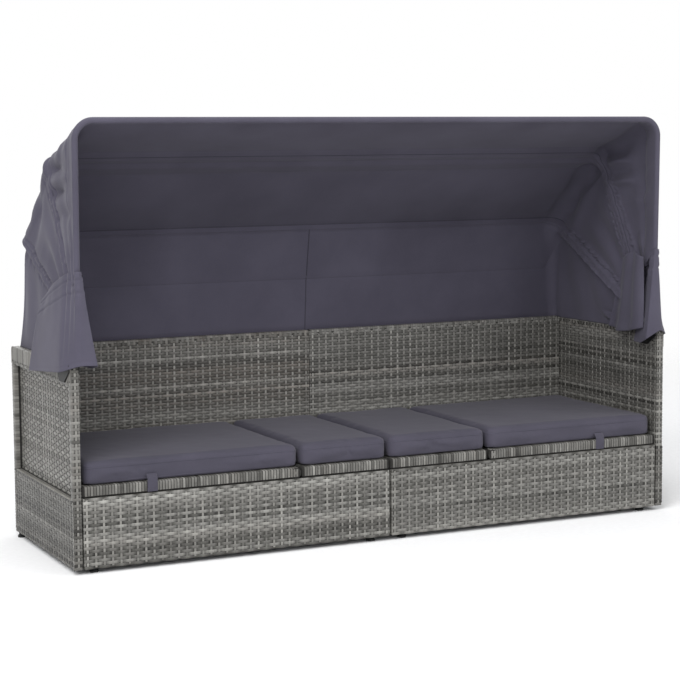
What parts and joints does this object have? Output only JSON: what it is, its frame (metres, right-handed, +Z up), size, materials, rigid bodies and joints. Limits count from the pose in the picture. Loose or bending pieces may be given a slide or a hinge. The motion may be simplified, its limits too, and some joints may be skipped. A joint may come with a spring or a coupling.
{
  "type": "outdoor daybed with canopy",
  "caption": "Woven synthetic rattan daybed with arms and back, a folding fabric canopy on steel bows, reclining seat panels and loose cushions.",
  "frame": {"origin": "on the ground, under the middle of the daybed's overall box", "axes": "+X along the length, to the right of a person in front of it; +Y from the front to the back; +Z up"},
  "size_m": [2.003, 0.6242, 1.2509],
  "materials": {
    "rattan_weave": "woven flat strands in mixed greys",
    "wrapped_rattan": "flat strands wrapped round the frame, mixed greys",
    "canopy_cloth": "plain woven polyester, matte slate grey",
    "cushion_cloth": "plain woven polyester, matte slate grey",
    "black_steel": "black powder coat",
    "zinc_steel": "zinc plated",
    "black_plastic": "matte black moulding"
  },
  "bodies": {
    "daybed_body": {"left_arm_frame": "wrapped_rattan", "left_arm_upper_weave": "rattan_weave", "left_arm_lower_weave": "rattan_weave", "left_back_frame": "wrapped_rattan", "left_back_upper_weave": "rattan_weave", "left_back_lower_weave": "rattan_weave", "left_seat_frame": "black_steel", "left_apron": "rattan_weave", "left_fixed_panel": "wrapped_rattan", "left_hinge_rod": "zinc_steel", "left_front_comb": "black_steel", "left_rear_comb": "black_steel", "left_short_cushion": "cushion_cloth", "left_outer_front_foot": "black_plastic", "left_inner_front_foot": "black_plastic", "left_outer_rear_foot": "black_plastic", "left_inner_rear_foot": "black_plastic", "left_arm_foot": "black_plastic", "left_canopy_bracket": "black_steel", "left_pivot_bolt": "zinc_steel", "right_arm_frame": "wrapped_rattan", "right_arm_upper_weave": "rattan_weave", "right_arm_lower_weave": "rattan_weave", "right_back_frame": "wrapped_rattan", "right_back_upper_weave": "rattan_weave", "right_back_lower_weave": "rattan_weave", "right_seat_frame": "black_steel", "right_apron": "rattan_weave", "right_fixed_panel": "wrapped_rattan", "right_hinge_rod": "zinc_steel", "right_front_comb": "black_steel", "right_rear_comb": "black_steel", "right_short_cushion": "cushion_cloth", "right_outer_front_foot": "black_plastic", "right_inner_front_foot": "black_plastic", "right_outer_rear_foot": "black_plastic", "right_inner_rear_foot": "black_plastic", "right_arm_foot": "black_plastic", "right_canopy_bracket": "black_steel", "right_pivot_bolt": "zinc_steel"},
    "left_recliner": {"left_reclining_frame": "wrapped_rattan", "left_reclining_deck": "rattan_weave", "left_long_cushion": "cushion_cloth", "left_cushion_strap": "cushion_cloth"},
    "left_recline_stay": {"left_stay": "black_steel"},
    "right_recliner": {"right_reclining_frame": "wrapped_rattan", "right_reclining_deck": "rattan_weave", "right_long_cushion": "cushion_cloth", "right_cushion_strap": "cushion_cloth"},
    "right_recline_stay": {"right_stay": "black_steel"},
    "rear_bow_group": {"rear_bow": "black_steel", "canopy_curtain": "canopy_cloth"},
    "mid_bow_group": {"mid_bow": "black_steel", "canopy_mid_panel": "canopy_cloth"},
    "front_bow_group": {"front_bow": "black_steel", "canopy_front_panel": "canopy_cloth", "left_skirt": "canopy_cloth", "right_skirt": "canopy_cloth"}
  },
  "joints": [
    {"name": "left_recline", "type": "hinge", "parent": "daybed_body", "child": "left_recliner", "pos_m": [-0.30385, 0, 0.22915], "axis": [0, 1, 0], "range_deg": [0, 55], "deforming": ["left_long_cushion"]},
    {"name": "left_stay_swing", "type": "hinge", "parent": "left_recliner", "child": "left_recline_stay", "pos_m": [-0.60103, 0, 0.22915], "axis": [0, 1, 0], "range_deg": [-110, 0]},
    {"name": "right_recline", "type": "hinge", "parent": "daybed_body", "child": "right_recliner", "pos_m": [0.35285, 0, 0.22915], "axis": [0, -1, 0], "range_deg": [0, 55], "deforming": ["right_long_cushion"]},
    {"name": "right_stay_swing", "type": "hinge", "parent": "right_recliner", "child": "right_recline_stay", "pos_m": [0.62749, 0, 0.22915], "axis": [0, -1, 0], "range_deg": [-110, 0]},
    {"name": "rear_bow_fold", "type": "hinge", "parent": "daybed_body", "child": "rear_bow_group", "pos_m": [0, -0.278, 0.612], "axis": [1, 0, 0], "range_deg": [-24.8, 0], "deforming": ["canopy_curtain"]},
    {"name": "mid_bow_fold", "type": "hinge", "parent": "rear_bow_group", "child": "mid_bow_group", "pos_m": [0, -0.278, 0.612], "axis": [1, 0, 0], "range_deg": [-28.1, 0], "deforming": ["canopy_mid_panel"]},
    {"name": "front_bow_fold", "type": "hinge", "parent": "mid_bow_group", "child": "front_bow_group", "pos_m": [0, -0.278, 0.612], "axis": [1, 0, 0], "range_deg": [-25.2, 0], "deforming": ["canopy_front_panel", "left_skirt", "right_skirt"]}
  ],
  "couplings": [
    {"joint": "left_stay_swing", "follows": "left_recline", "ratio": -2},
    {"joint": "right_stay_swing", "follows": "right_recline", "ratio": -2},
    {"joint": "mid_bow_fold", "follows": "rear_bow_fold", "ratio": 1.133},
    {"joint": "front_bow_fold", "follows": "rear_bow_fold", "ratio": 1.016}
  ]
}
